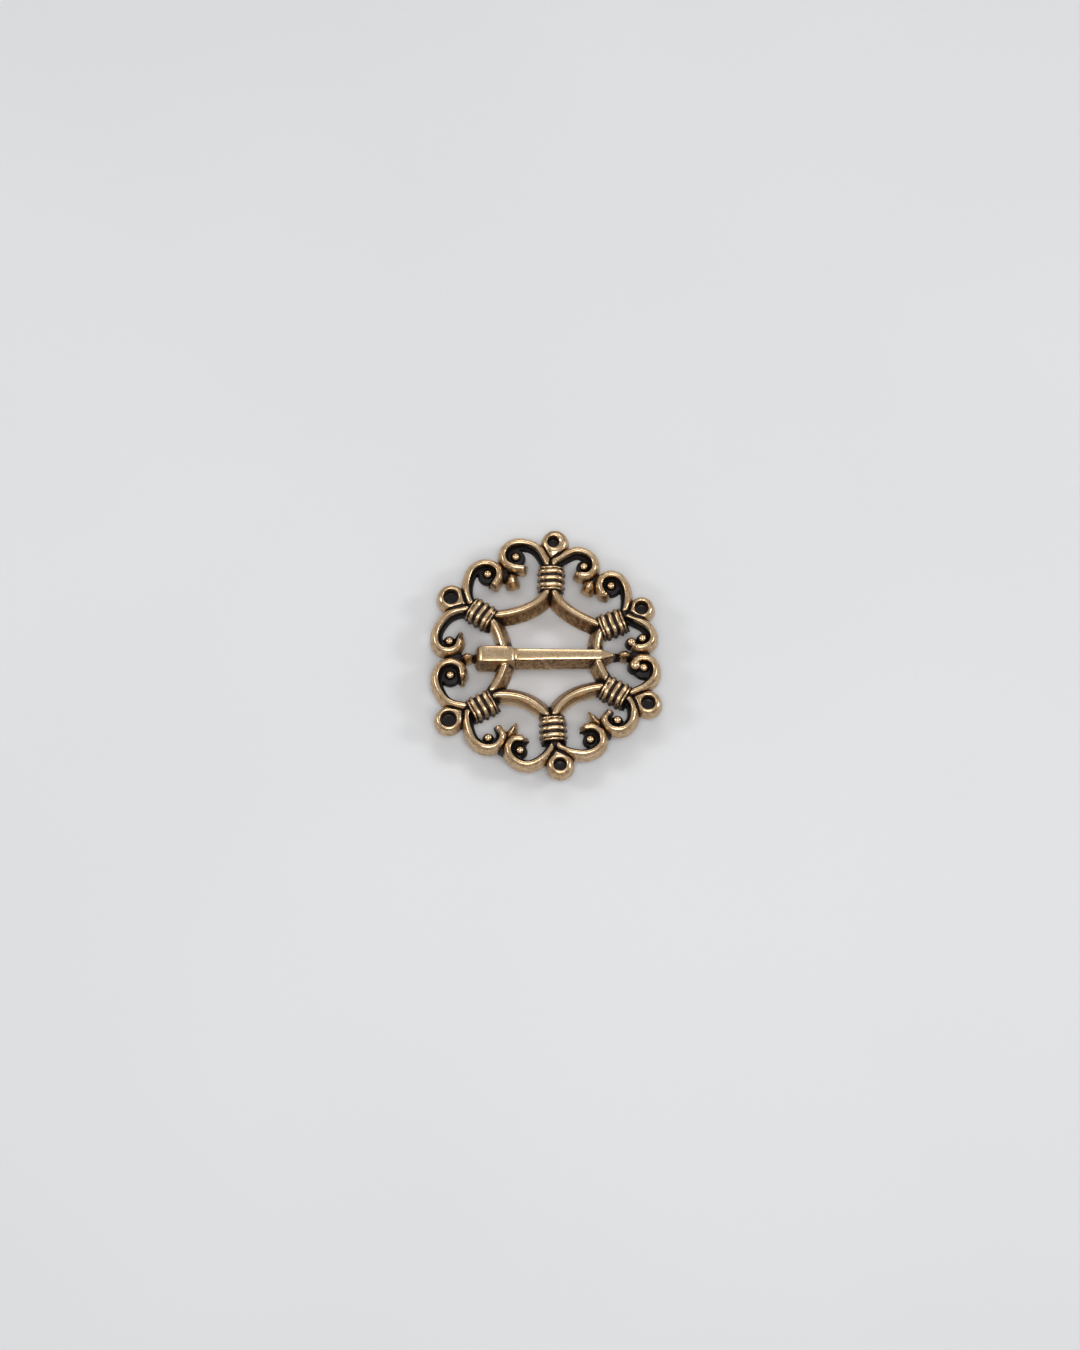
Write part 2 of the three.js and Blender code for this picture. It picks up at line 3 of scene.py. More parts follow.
import bpy
import numpy as np
import openvdb
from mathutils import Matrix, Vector


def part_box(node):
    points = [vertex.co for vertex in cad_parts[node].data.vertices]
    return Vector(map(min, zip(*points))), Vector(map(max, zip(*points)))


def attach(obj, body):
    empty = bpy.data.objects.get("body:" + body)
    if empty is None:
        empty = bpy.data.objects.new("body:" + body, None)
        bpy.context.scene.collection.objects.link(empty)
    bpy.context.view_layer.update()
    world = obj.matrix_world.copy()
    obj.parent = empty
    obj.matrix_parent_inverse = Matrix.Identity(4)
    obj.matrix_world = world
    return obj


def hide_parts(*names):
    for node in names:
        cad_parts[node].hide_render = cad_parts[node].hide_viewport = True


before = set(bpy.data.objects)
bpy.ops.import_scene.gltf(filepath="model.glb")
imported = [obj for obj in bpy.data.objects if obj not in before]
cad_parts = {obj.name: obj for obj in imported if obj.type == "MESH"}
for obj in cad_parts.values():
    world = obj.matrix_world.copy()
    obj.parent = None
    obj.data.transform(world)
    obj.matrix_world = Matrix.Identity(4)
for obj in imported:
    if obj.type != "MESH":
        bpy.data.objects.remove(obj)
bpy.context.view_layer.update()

MM = 0.001

# Casting: sizes in millimetres, with heights over its flat back, and shares from 0 to 1
RIM_EDGE = 0.35
FLOOR_RISE = 1.2
SCROLL_RISE = 2.7
SCROLL_SHOULDER = 2.5
SCROLL_OUTER_CREST = 0.55
SCROLL_INNER_CREST = 0.25
SCROLL_BANK = 0.65
SCROLL_REACH = 1.15
STEM_REACH = 0.85
TAIL_SHARE = 0.88
TURN_STEP = 45
PATH_STEPS = 24
PELLET_RADIUS = 0.82
PELLET_SINK = 0.15
KNOB_RISE = 1.55
COLLAR_HALF_WIDTH = 2.55
COLLAR_HALF_LENGTH = 2.3
COLLAR_RISE = 3.1
RIB_PITCH = 1.26
RIB_HALF_WIDTH = 0.43
GROOVE_DEPTH = 0.46
LIP_DROP = 0.2
EYE_RISE = 2.35
EYE_HOLE_FLOOR = 0.8
EYE_POINT = 0.34
EYE_FLAT = 0.3
EYE_RIM = 0.42
ARC_RISE = 2.95
ARC_HALF_CREST = 0.35
ARC_INNER_SLOPE = 1.3
ARC_LOBE_SLOPE = 0.95
BAR_LINE = -1.55
FRAME_MIDDLE = (0.5, BAR_LINE)
STALK_HALF_TOP = 0.5
STALK_HALF_FOOT = 0.75
STALK_RISE = 1.15
BAR_TOP_DIP = 0.1
BAR_NOTCH = -5.775

# Casting: drop for each millimetre outwards at the sides, and the depth of open ground
SIDE_FALL = 5.0
DEEPEST = -2.5

# Casting: engraved lines, their place past the crest's edge, their depth and half width
LINE_OFFSET = 0.1
LINE_DEPTH = 0.05
LINE_SPREAD = 0.09

# Casting: how black the patina is, how dark the painted shade of the engraved lines, and how rough the
# cast surface, from 0 to 1
# painted shade: the dark of the line beside each scroll crest stands in for a dark reflection along it
SCROLL_LINE_DARK = 0.42
# painted shade: the dark line along the edges of the bar's top stands in for a dark reflection there
BAR_LINE_DARK = 0.5
NOTCH_DARK = 0.6
CORNER_DARK = 0.85
END_DARK = 0.95
POLISHED = 0.1
FLOOR_ROUGH = 0.6
CREST_ROUGH = 0.12
BANK_ROUGH = 0.42
EYE_CREST_ROUGH = 0.15

# Casting: finished mesh, with its volume's lowest and highest layers in millimetres
CASTING_TRIANGLES = 190000
VOLUME_FOOT = -0.3
VOLUME_TOP = 4.2
EDGE_BLUR = 0.07

# Pin fitting, in millimetres
PIN_HINGE = (-9.8, BAR_LINE, 1.35)
PIN_EYE_RADIUS = 1.0
PIN_EYE_HALF = 0.6
PIN_EYE_ROUNDING = 0.16
PIN_RADIUS = 0.5
PIN_TIP_RADIUS = 0.12
PIN_TAPER_START = 4.5
PIN_END = 11.3
RIVET_RADIUS = 0.4
RIVET_HEAD_RADIUS = 0.75
RIVET_HEAD_HEIGHT = 0.3
FITTING_HALF_WIDTH = 1.45
BORE_CLEARANCE = 0.05
SHEET_ROUNDING = 0.09

# Collars: place and the bearing of the outer end in degrees
COLLARS = {
    "top": ((0.65, 13.15), 88),
    "upper left": ((-11.9, 6.6), 148),
    "upper right": ((11.55, 4.75), 21),
    "lower left": ((-11.8, -10.7), 207),
    "lower right": ((12.2, -8.1), -29),
    "bottom": ((1.0, -15.15), -87),
}

# Eyes: ring middle, band width, hole middle, hole radius, collar
EYES = [
    ((1.35, 20.1), 1.45, (1.05, 20.2), 1.0, "top"),
    ((-17.4, 9.55), 1.28, (-17.45, 9.65), 1.28, "upper left"),
    ((17.0, 7.5), 1.12, (16.95, 7.55), 1.16, "upper right"),
    ((-17.75, -13.35), 1.1, (-17.7, -13.35), 1.38, "lower left"),
    ((18.05, -10.3), 1.2, (18.0, -10.25), 1.2, "lower right"),
    ((2.25, -21.65), 1.3, (2.2, -21.7), 1.1, "bottom"),
]

# Scrolls: collar, root, pellet, first bearing, sense of turn, radii at each turn step, tip,
# share of the section left at the tip, web radius, end knob radius
SCROLLS = [
    ("top", (-0.2, 16.0), (-5.75, 17.4), 25, 1, (3.95, 2.7, 2.35, 2.2, 2.05, 1.9),
     (-4.3, 15.3), 0.95, 1.7, 0),
    ("top", (1.25, 16.0), (6.6, 15.6), 160, -1, (4.3, 3.0, 2.2, 1.85, 1.75, 1.75, 1.7),
     (5.35, 14.25), 0.85, 1.35, 0),
    ("upper left", (-14.1, 9.2), (-10.85, 14.15), 210, -1, (4.15, 2.75, 2.0, 1.75, 1.85, 1.9),
     (-9.85, 12.1), 0.95, 1.75, 0),
    ("upper right", (13.8, 7.0), (11.5, 11.9), -45, 1, (3.85, 2.35, 1.95, 1.85, 1.85, 1.85, 1.95),
     (10.7, 10.15), 0.85, 1.8, 0),
    ("upper left", (-14.7, 7.2), (-17.7, 1.4), 90, 1, (4.85, 2.9, 2.25, 2.0, 1.75, 1.7, 1.7),
     (-15.75, 3.1), 0.5, 1.15, 0),
    ("lower left", (-14.9, -10.7), (-17.5, -5.0), 265, -1, (4.8, 2.9, 2.3, 2.2, 2.2, 2.2, 2.05),
     (-15.4, -6.5), 0.5, 1.8, 0),
    ("upper right", (13.8, 6.0), (17.1, 1.9), 110, -1, (3.6, 2.2, 1.75, 1.6, 1.55, 1.8),
     (15.1, 1.2), 0.6, 1.1, 0.85),
    ("lower right", (14.3, -8.3), (17.3, -3.6), -95, 1, (3.7, 2.5, 1.9, 1.65, 1.5, 1.65),
     (15.75, -3.2), 0.6, 1.9, 1.1),
    ("lower left", (-14.1, -12.0), (-10.6, -16.7), 140, 1, (4.75, 2.65, 1.9, 1.75, 1.95, 2.4),
     (-9.0, -14.8), 0.8, 0.9, 0),
    ("bottom", (0.85, -17.9), (-4.9, -19.0), -15, -1, (4.4, 2.95, 2.1, 1.88, 1.95, 2.05, 1.9),
     (-3.65, -17.0), 0.5, 1.25, 0),
    ("lower right", (14.1, -9.4), (12.5, -13.4), 45, -1, (3.7, 2.5, 1.95, 1.75, 1.85, 2.05),
     (11.2, -11.9), 0.8, 0.9, 0),
    ("bottom", (1.7, -17.8), (7.6, -17.0), 205, 1, (4.7, 2.7, 2.1, 2.05, 2.05, 2.1, 2.15),
     (6.1, -15.1), 0.65, 1.3, 0),
]

# Inner arcs: start, a point on the middle, end
ARCS = [
    ((0.2, 10.9), (-3.6, 7.5), (-10.4, 6.0)),
    ((1.0, 10.9), (3.9, 7.1), (10.4, 3.9)),
    ((10.2, 4.2), (9.0, 1.7), (8.8, -1.6)),
    ((8.8, -1.4), (9.5, -3.9), (11.2, -6.8)),
    ((-10.6, 5.9), (-8.8, 3.0), (-7.6, -1.3)),
    ((-7.4, -1.8), (-8.4, -5.4), (-10.6, -9.0)),
    ((-10.6, -9.1), (-4.2, -9.5), (0.5, -13.4)),
    ((0.8, -13.4), (4.2, -9.0), (10.8, -7.3)),
]

# Buds: half widths and heights from waist to tip for each shape
BUD_SHAPES = {
    "flare": ((0.95, 1.3, 1.35, 1.1), (1.9, 2.5, 2.3, 1.3)),
    "leaf": ((0.55, 1.0, 0.85, 0.25), (1.7, 2.5, 2.4, 1.4)),
    "knob": ((0.75, 1.15, 1.1, 0.65), (1.8, 2.6, 2.5, 1.6)),
}

# Buds: valley, stalk end, waist, tip and shape
BUDS = [
    ((-9.0, 16.3), (-7.0, 13.0), (-6.6, 14.0), (-6.2, 11.6), "flare"),
    ((9.4, 14.2), (7.8, 12.2), (8.1, 12.8), (6.9, 10.7), "flare"),
    ((-17.6, -1.5), (-12.4, -1.6), (-15.35, -1.6), (-13.2, -1.6), "knob"),
    ((18.3, -0.9), (11.4, -1.4), (14.9, -1.2), (12.6, -1.2), "knob"),
    ((-8.2, -19.6), (-6.8, -16.2), (-7.1, -16.8), (-5.5, -13.9), "leaf"),
    ((10.8, -16.7), (9.1, -14.3), (9.6, -15.0), (7.3, -11.8), "leaf"),
]

# Bar: place along X, half width of the top, height and width of the slopes at each station
BAR_STATIONS = [
    (-12.7, 1.325, 2.45, 0.9),
    (-12.3, 1.4, 3.4, 0.9),
    (-11.75, 1.425, 3.72, 0.9),
    (-9.5, 1.425, 3.78, 0.9),
    (-7.3, 1.4, 3.7, 0.9),
    (-6.35, 1.3, 3.5, 0.9),
    (-6.0, 1.175, 3.3, 0.9),
    (BAR_NOTCH, 1.075, 3.05, 0.9),
    (-5.55, 1.095, 3.25, 0.9),
    (1.8, 0.975, 3.25, 0.9),
    (9.6, 0.895, 3.25, 0.9),
    (11.7, 0.3, 2.9, 0.35),
    (12.2, 0.15, 2.05, 0.35),
]

# Grid of the casting's relief map
PITCH = 0.1
LOW = np.array((-23.0, -27.0))
HIGH = np.array((23.0, 25.0))
CELLS = np.round((HIGH - LOW) / PITCH).astype(int) + 1
GRID_X, GRID_Y = np.meshgrid(
    LOW[0] + PITCH * np.arange(CELLS[0]), LOW[1] + PITCH * np.arange(CELLS[1]), indexing="ij"
)

# Joins: softness and fillet, and the depth and spread of a seam, in millimetres
JOIN_SOFTNESS = 0.08
FILLET = 0.07
SEAM = 0.35
SEAM_SPREAD = 0.8

# Relief map: height, dark patina with painted shade, and cast roughness at each cell
relief = np.full(CELLS, DEEPEST)
patina_and_shade = np.zeros(CELLS)
casting = np.zeros(CELLS)


def window(points, margin):
    """The slices of the grid round some plan points."""
    points = np.asarray(points, float).reshape(-1, 2)
    first = np.floor((points.min(0) - margin - LOW) / PITCH).astype(int).clip(0)
    last = np.ceil((points.max(0) + margin - LOW) / PITCH).astype(int)
    return slice(first[0], last[0] + 1), slice(first[1], last[1] + 1)


def put(where, height, dark, rough, seam=0.0):
    """Adds a form to the map, with a small fillet and a dark seam where it meets what is there."""
    height = np.maximum(height, DEEPEST)
    old = relief[where]
    share = 1 / (1 + np.exp(-(height - old) / JOIN_SOFTNESS))
    joined = 0.5 * (height + old + np.sqrt((height - old) ** 2 + FILLET**2))
    shade = patina_and_shade[where] * (1 - share) + np.asarray(dark) * share
    if seam > 0:
        meeting = bell(height - old, SEAM_SPREAD) * smooth_step(0.1, 0.7, np.minimum(height, old))
        joined = joined - seam * meeting
        shade = np.maximum(shade, smooth_step(0.3, 0.85, meeting) * min(seam / SEAM, 1))
    relief[where] = joined
    patina_and_shade[where] = shade
    casting[where] = casting[where] * (1 - share) + np.asarray(rough) * share


def bell(distance, spread):
    """1 at no distance, falling to almost nothing at twice the spread."""
    return np.exp(-((distance / spread) ** 2))


def smooth_step(low, high, value):
    """0 below low and 1 above high, with a smooth rise between."""
    t = np.clip((value - low) / (high - low), 0, 1)
    return t * t * (3 - 2 * t)


def polar(centre, bearing, radius):
    """The plan point at a bearing, in degrees, and a distance from a centre."""
    angle = math.radians(bearing)
    return np.array(centre) + radius * np.array((math.cos(angle), math.sin(angle)))


def spline(points, steps):
    """A centripetal Catmull-Rom spline through the points."""
    points = [np.array(p, float) for p in points]
    points = [2 * points[0] - points[1], *points, 2 * points[-1] - points[-2]]
    t = np.linspace(0, 1, steps, endpoint=False)[:, None]
    line = []
    for a, b, c, d in zip(points, points[1:], points[2:], points[3:]):
        before, here, after = (math.sqrt(np.linalg.norm(q - p)) for p, q in ((a, b), (b, c), (c, d)))
        leave = here * ((b - a) / before - (c - a) / (before + here) + (c - b) / here)
        arrive = here * ((c - b) / here - (d - b) / (here + after) + (d - c) / after)
        line.append(
            b
            + leave * t
            + (3 * (c - b) - 2 * leave - arrive) * t**2
            + (2 * (b - c) + leave + arrive) * t**3
        )
    return np.vstack([*line, points[-2][None]])


def follow(path, where):
    """Each cell's share along the path, offset to the left of travel and distance past its ends."""
    x, y = GRID_X[where], GRID_Y[where]
    cells = np.stack((x.ravel(), y.ravel()), 1)
    nearest = np.argmin(((cells[:, None] - path[None]) ** 2).sum(2), 1)
    tangent = np.gradient(path, axis=0)
    tangent /= np.linalg.norm(tangent, axis=1)[:, None]
    away = cells - path[nearest]
    along = tangent[nearest]
    offset = along[:, 0] * away[:, 1] - along[:, 1] * away[:, 0]
    ahead = (along * away).sum(1)
    past = np.where((nearest == 0) & (ahead < 0), -ahead, 0)
    past = np.where((nearest == len(path) - 1) & (ahead > 0), ahead, past)
    share = nearest / (len(path) - 1)
    return share.reshape(x.shape), offset.reshape(x.shape), past.reshape(x.shape)


def bank(distance, width, rise, fullness):
    """A bank that falls from a crest to the rim: 1 is a flat slope, 2 a quarter round."""
    t = np.clip(distance / width, 0, 1)
    slope = RIM_EDGE + (rise - RIM_EDGE) * (1 - t**fullness) ** (1 / fullness)
    outside = RIM_EDGE - SIDE_FALL * (distance - width)
    return np.where(distance > width, outside, np.minimum(slope, outside + 0.25 * rise))


def scroll_path(collar, root, pellet, start, turn, radii, tip):
    """The crest line from inside the collar round the pellet to the tip."""
    turns = [polar(pellet, start + turn * TURN_STEP * i, r) for i, r in enumerate(radii)]
    inside = np.array(root) * 0.2 + np.array(COLLARS[collar][0]) * 0.8
    return spline([inside, root, *turns, tip], PATH_STEPS)


def scroll_floor(inward, past, share, tail, ending):
    """The recessed floor on the scroll's inner side, narrow at the stem."""
    stem = STEM_REACH + (SCROLL_REACH - STEM_REACH) * smooth_step(0.3, 0.5, share)
    wall_foot = SCROLL_INNER_CREST + 0.25
    reach = stem * (1 - tail) + wall_foot * tail + 0.05
    close = 1 - (1 - ending) * tail
    floor = FLOOR_RISE * close - SIDE_FALL * np.maximum(inward - reach + 0.12, 0)
    return np.where((inward < 0) | (past > 0), DEEPEST, floor)


def add_scroll(collar, root, pellet, start, turn, radii, tip, ending, web, knob):
    """A scroll: its recessed floor, its crest with an engraved line, and the pellet it turns round."""
    path = scroll_path(collar, root, pellet, start, turn, radii, tip)
    where = window(path, SCROLL_REACH + 0.8)
    share, offset, past = follow(path, where)
    inward = offset * turn
    tail = smooth_step(TAIL_SHARE, 1.0, share)
    close = 1 - (1 - ending) * tail

    to_pellet = np.hypot(GRID_X[where] - pellet[0], GRID_Y[where] - pellet[1])
    web_floor = FLOOR_RISE - SIDE_FALL * np.maximum(to_pellet - web + 0.12, 0)
    floor = scroll_floor(inward, past, share, tail, ending)
    put(where, np.maximum(floor, web_floor), 1.0, FLOOR_ROUGH)

    outward = np.maximum(-inward, 0) / close
    beyond = np.hypot(np.maximum(outward - SCROLL_OUTER_CREST, 0), past / close)
    to_line = outward - SCROLL_OUTER_CREST - LINE_OFFSET
    past_root = smooth_step(0.1, 0.2, share)
    crown = 1 - np.minimum(outward / SCROLL_OUTER_CREST, 1) ** 4
    crest = bank(beyond, SCROLL_BANK, SCROLL_SHOULDER, 1.7)
    crest += (SCROLL_RISE - SCROLL_SHOULDER) * crown * bell(past, 0.4)
    crest -= LINE_DEPTH * bell(to_line, LINE_SPREAD) * past_root
    crest -= 0.15 * np.clip(inward / SCROLL_INNER_CREST / close, 0, 1) ** 3
    wall = SCROLL_RISE - 0.1 - SIDE_FALL * (inward / close - SCROLL_INNER_CREST)
    in_recess = smooth_step(0.02, 0.26, inward - SCROLL_INNER_CREST * close)
    # painted shade: the engraved line is darkened to stand in for the dark reflection beside the crest
    in_line = SCROLL_LINE_DARK * bell(to_line, 0.08) * past_root
    rough = CREST_ROUGH + BANK_ROUGH * smooth_step(0.05, 0.3, outward - SCROLL_OUTER_CREST)
    put(where, np.minimum(crest, wall) * close, np.maximum(in_recess, in_line), rough, SEAM)

    add_ball(pellet, PELLET_RADIUS, FLOOR_RISE + PELLET_SINK)
    if knob > 0:
        add_ball(path[-1], knob, KNOB_RISE)


def add_ball(centre, radius, middle):
    """A pellet or knob with its middle at the height given."""
    where = window([centre], radius + 0.8)
    distance = np.hypot(GRID_X[where] - centre[0], GRID_Y[where] - centre[1])
    dome = middle + np.sqrt(np.maximum(radius**2 - distance**2, 0))
    side = middle + 0.35 * radius + SIDE_FALL * (radius - distance)
    put(where, np.minimum(dome, side), smooth_step(0.7, 1.0, distance / radius), POLISHED)


def add_eye(middle, band, hole, hole_radius, collar):
    """A ring round a blind hole, drawn out to a point towards its collar."""
    place = np.array(COLLARS[collar][0])
    inward = math.atan2(place[1] - middle[1], place[0] - middle[0])
    where = window([middle], hole_radius + band * 2)
    x, y = GRID_X[where] - middle[0], GRID_Y[where] - middle[1]
    point = 1 + EYE_POINT * np.maximum(0, np.cos(np.arctan2(y, x) - inward)) ** 6
    outer = (band + hole_radius) * point
    distance = np.hypot(x, y)
    share = (distance - hole_radius) / (outer - hole_radius)

    shoulder = EYE_RISE * (1 - 0.08 * np.clip(1 - share / EYE_FLAT, 0, 1) ** 2)
    rim = EYE_RISE * EYE_RIM
    t = np.clip((share - EYE_FLAT) / (1 - EYE_FLAT), 0, 1)
    ring = np.minimum(shoulder, rim + (EYE_RISE - rim) * (1 - t**2.1) ** (1 / 2.1))
    ring = np.where(share > 1, rim - SIDE_FALL * (distance - outer), ring)
    line = bell(share - 0.52, 0.07)
    rough = EYE_CREST_ROUGH + 0.4 * smooth_step(0.5, 0.7, share)
    put(where, ring - 0.04 * line, 0.42 * line, rough, SEAM)

    to_hole = np.hypot(GRID_X[where] - hole[0], GRID_Y[where] - hole[1])
    pit = EYE_HOLE_FLOOR + SIDE_FALL * np.maximum(to_hole - hole_radius + 0.18, 0)
    in_hole = to_hole < hole_radius + 0.25
    relief[where] = np.where(in_hole, np.minimum(relief[where], pit), relief[where])
    dark = 1 - smooth_step(hole_radius - 0.28, hole_radius - 0.02, to_hole)
    patina_and_shade[where] = np.maximum(patina_and_shade[where], dark)


def collar_inset(at):
    """How deep the collar's surface lies in its grooves: three ribs and a lip at each end."""
    inset = np.full(at.shape, GROOVE_DEPTH)
    for i in (-1, 0, 1):
        t = np.clip(np.abs(at - i * RIB_PITCH) / RIB_HALF_WIDTH, 0, 1)
        inset = np.minimum(inset, GROOVE_DEPTH * (1 - np.sqrt(1 - t**2)))
    t = np.clip(np.abs(np.abs(at) - COLLAR_HALF_LENGTH + 0.32) / 0.3, 0, 1)
    lip = LIP_DROP + (GROOVE_DEPTH - LIP_DROP) * (1 - np.sqrt(1 - t**2))
    return np.where(np.abs(at) > 1.5 * RIB_PITCH - 0.05, np.minimum(inset, lip), inset)


def add_collar(place, bearing):
    """An arched collar bound round the neck of a lobe."""
    along = polar((0, 0), bearing, 1)
    where = window([place], 3.6)
    x, y = GRID_X[where] - place[0], GRID_Y[where] - place[1]
    length = x * along[0] + y * along[1]
    across = y * along[0] - x * along[1]
    wave = 0.05 * np.sin(across * 1.7 + bearing) + 0.03 * (across / COLLAR_HALF_WIDTH) ** 2
    inset = collar_inset(length + wave)

    half = COLLAR_HALF_WIDTH - 0.8 * inset
    arch = np.clip(1 - (np.abs(across) / half) ** (2 / 0.7), 0, 1) ** 0.3 * (COLLAR_RISE - inset)
    side = RIM_EDGE + SIDE_FALL * (half - np.abs(across))
    ends = COLLAR_RISE + SIDE_FALL * (COLLAR_HALF_LENGTH - 0.1 - np.abs(length))
    groove = smooth_step(0.26, 0.42, inset)
    # painted shade: the collar's steep turned-down sides are darkened
    side_shade = smooth_step(0.8, 1.0, np.abs(across) / half)
    put(where, np.minimum(np.minimum(arch + 1e-3, side), ends), np.maximum(groove, 0.6 * side_shade), POLISHED)

    end = bell(np.abs(length) - COLLAR_HALF_LENGTH - 0.02, 0.15)
    end = end * smooth_step(0.5, 1.2, relief[where])
    end = end * (1 - smooth_step(0.0, 0.3, np.abs(across) - COLLAR_HALF_WIDTH))
    relief[where] -= 0.3 * end
    patina_and_shade[where] = np.maximum(patina_and_shade[where], END_DARK * smooth_step(0.3, 0.8, end))


def add_arc(start, middle, end):
    """A ridge along a parabola: a flat inner slope, a round slope to the lobe, dark in its corners."""
    start, middle, end = (np.array(p, float) for p in (start, middle, end))
    control = 2 * middle - 0.5 * (start + end)
    t = np.linspace(0, 1, 120)[:, None]
    path = (1 - t) ** 2 * start + 2 * t * (1 - t) * control + t**2 * end
    travel = end - start
    inward = np.array(FRAME_MIDDLE) - middle
    side = np.sign(travel[0] * inward[1] - travel[1] * inward[0])
    where = window(path, 2.4)
    share, offset, past = follow(path, where)
    offset = offset * side
    inner = bank(np.maximum(offset - ARC_HALF_CREST, 0), ARC_INNER_SLOPE, ARC_RISE, 1.12)
    lobe = bank(np.maximum(-offset - ARC_HALF_CREST, 0), ARC_LOBE_SLOPE, ARC_RISE, 1.7)
    crest = np.where(offset > 0, inner, lobe)
    crest -= 0.12 * (np.clip(offset, -ARC_HALF_CREST, ARC_HALF_CREST) / ARC_HALF_CREST) ** 4
    crest -= LINE_DEPTH * bell(offset - ARC_HALF_CREST - 0.02, 0.08)
    crest -= SIDE_FALL * np.maximum(past - 0.2, 0)
    length = np.linalg.norm(np.diff(path, axis=0), axis=1).sum()
    to_end = length * np.minimum(share, 1 - share)
    corner = (1 - smooth_step(0.9, 2.6, to_end)) * smooth_step(0.25, 0.9, np.abs(offset))
    put(where, crest, CORNER_DARK * corner, smooth_step(0.3, 0.7, offset), SEAM)


def add_bud(valley, stalk_end, waist, tip, shape):
    """A low dark stalk from the valley between two scrolls, and the bud's head at its end."""
    valley, stalk_end, waist, tip = (np.array(p, float) for p in (valley, stalk_end, waist, tip))
    where = window([valley, stalk_end, waist, tip], 1.8)
    x, y = GRID_X[where], GRID_Y[where]

    def local(start, end):
        length = np.linalg.norm(end - start)
        way = (end - start) / length
        along = (x - start[0]) * way[0] + (y - start[1]) * way[1]
        offset = (y - start[1]) * way[0] - (x - start[0]) * way[1]
        return along, offset, length

    along, offset, length = local(valley, stalk_end)
    half = np.abs(offset)
    slope = (STALK_RISE - RIM_EDGE) / (STALK_HALF_FOOT - STALK_HALF_TOP)
    stalk = np.minimum(STALK_RISE, STALK_RISE - slope * (half - STALK_HALF_TOP))
    stalk -= SIDE_FALL * np.maximum(np.maximum(-along, along - length), 0)
    put(where, stalk, 1.0, 0.5)
    along, offset, length = local(waist, tip)
    widths, rises = BUD_SHAPES[shape]
    t = np.clip(along / length, 0, 1)
    stations = np.linspace(0, 1, len(widths))
    width = np.interp(t, stations, widths)
    rise = np.interp(t, stations, rises)
    beyond = np.maximum(np.maximum(-along, along - length), 0)
    reach = np.abs(offset) / width
    head = RIM_EDGE + (rise - RIM_EDGE) * np.clip(1 - reach**1.5, 0, 1) ** (1 / 1.4)
    head = np.where(reach > 1, RIM_EDGE - SIDE_FALL * (np.abs(offset) - width), head)
    head = np.minimum(head, RIM_EDGE + SIDE_FALL * (width - np.abs(offset)) + 0.6 * rise)
    head -= SIDE_FALL * beyond
    put(where, head, 0.5 * smooth_step(0.85, 1.1, reach), 0.15, 0.6 * SEAM)


def add_bar():
    """The front bar: a flat top over two cast slopes, from head to point."""
    x_stations, tops, rises, slopes = (np.array(column) for column in zip(*BAR_STATIONS))
    where = window([(x_stations[0], BAR_LINE), (x_stations[-1], BAR_LINE)], 3.0)
    x = GRID_X[where]
    half = np.abs(GRID_Y[where] - BAR_LINE)
    top = np.interp(x, x_stations, tops)
    rise = np.interp(x, x_stations, rises)
    foot = np.interp(x, x_stations, slopes)
    t = np.maximum(half - top, 0) / foot
    slope = rise - (rise - RIM_EDGE) * np.minimum(t, 1) ** 1.08
    height = np.where(t > 1, RIM_EDGE - SIDE_FALL * (half - top - foot), slope)
    height -= BAR_TOP_DIP * np.minimum(half / top, 1) ** 2.2
    beyond = np.maximum(np.maximum(x_stations[0] - x, x - x_stations[-1]), 0)
    height -= SIDE_FALL * beyond
    old = relief[where].copy()
    corner = bell(height - old, 0.5) * smooth_step(0.1, 0.6, np.minimum(height, old))
    corner = corner * (1 - smooth_step(2.2, 2.8, height))
    # painted shade: a thin dark line along the edges of the blade's top, in place of a reflection
    line = bell(half - top - 0.05, 0.08) * smooth_step(-5.6, -5.2, x)
    notch = bell(x - BAR_NOTCH, 0.1) * smooth_step(0.3, 0.9, half)
    dark = np.maximum(NOTCH_DARK * notch, BAR_LINE_DARK * line)
    put(where, height, dark, POLISHED + (1 - POLISHED) * smooth_step(0.0, 0.3, t))
    patina_and_shade[where] = np.maximum(patina_and_shade[where], END_DARK * smooth_step(0.2, 0.8, corner))


def blurred(values, radius):
    """A Gaussian blur, radius in millimetres."""
    reach = int(math.ceil(3 * radius / PITCH))
    weights = np.exp(-0.5 * (np.arange(-reach, reach + 1) * PITCH / radius) ** 2)
    weights /= weights.sum()
    for axis in (0, 1):
        padded = np.pad(values, [(reach, reach) if a == axis else (0, 0) for a in (0, 1)], "edge")
        values = sum(
            w * np.take(padded, range(i, i + values.shape[axis]), axis) for i, w in enumerate(weights)
        )
    return values


def cast_relief():
    """Fills the relief map; later forms lie over earlier ones."""
    for form in SCROLLS:
        add_scroll(*form)
    for form in ARCS:
        add_arc(*form)
    for form in BUDS:
        add_bud(*form)
    for place, bearing in COLLARS.values():
        add_collar(place, bearing)
    add_bar()
    for form in EYES:
        add_eye(*form)


def surface_noise(seed, wavelength):
    """Even bumps of about one unit height, the same on every run."""
    generator = np.random.default_rng(seed)
    return blurred(generator.standard_normal(CELLS), wavelength) * (wavelength / PITCH) * 3.5


